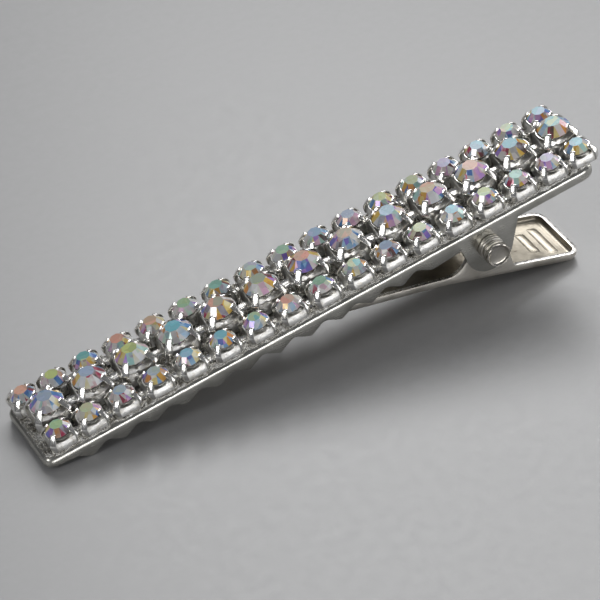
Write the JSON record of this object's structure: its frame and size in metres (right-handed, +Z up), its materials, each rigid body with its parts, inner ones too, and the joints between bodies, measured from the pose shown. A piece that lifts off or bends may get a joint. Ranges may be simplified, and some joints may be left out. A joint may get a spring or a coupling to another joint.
{
  "type": "hair clip",
  "caption": "Flat alligator hair clip of plated sheet steel, with toothed jaws, a sprung thumb lever and rows of glass stones in pronged cups along its top.",
  "frame": {"origin": "middle of the closed clip's bounding box, on the surface it lies on", "axes": "+X along the clip from the front tip of the jaws to the lever, +Y across it along the pivot pin, +Z up; the closed clip lies on the front teeth of its upper jaw and the heel of its lever"},
  "size_m": [0.0573, 0.0126, 0.0137],
  "materials": {
    "nickel_plate": "bright nickel plating on sheet steel, fine drawn marks",
    "nickel_lever": "bright nickel plating, slightly warm",
    "nickel_pin": "turned and nickel plated",
    "spring_wire": "plain spring wire",
    "silver_cup": "silver-plated brass, polished",
    "crystal": "foiled cut glass with an iridescent coating",
    "clear_glue": "clear adhesive, glossy and uneven"
  },
  "bodies": {
    "lever_body": {"lower_jaw": "nickel_lever", "torsion_spring": "spring_wire"},
    "top_body": {"upper_jaw": "nickel_plate", "pivot_pin": "nickel_pin", "glue_bed": "clear_glue", "far_row_cups": "silver_cup", "far_row_links": "silver_cup", "far_row_stones": "crystal", "near_row_cups": "silver_cup", "near_row_links": "silver_cup", "near_row_stones": "crystal", "middle_row_links": "silver_cup", "middle_cup_01": "silver_cup", "middle_cup_02": "silver_cup", "middle_cup_03": "silver_cup", "middle_cup_04": "silver_cup", "middle_cup_05": "silver_cup", "middle_cup_06": "silver_cup", "middle_cup_07": "silver_cup", "middle_cup_08": "silver_cup", "middle_cup_09": "silver_cup", "middle_cup_10": "silver_cup", "middle_cup_11": "silver_cup", "middle_cup_12": "silver_cup", "middle_cup_13": "silver_cup", "middle_stone_01": "crystal", "middle_stone_02": "crystal", "middle_stone_03": "crystal", "middle_stone_04": "crystal", "middle_stone_05": "crystal", "middle_stone_06": "crystal", "middle_stone_07": "crystal", "middle_stone_08": "crystal", "middle_stone_09": "crystal", "middle_stone_10": "crystal", "middle_stone_11": "crystal", "middle_stone_12": "crystal", "middle_stone_13": "crystal"}
  },
  "joints": [
    {"name": "jaw_hinge", "type": "hinge", "parent": "lever_body", "child": "top_body", "pos_m": [0.01642, 0, 0.00609], "axis": [0, 1, 0], "range_deg": [0, 36], "stiffness_Nm_per_rad": 0.05, "springref_deg": -45.84, "deforming": ["torsion_spring"]}
  ]
}
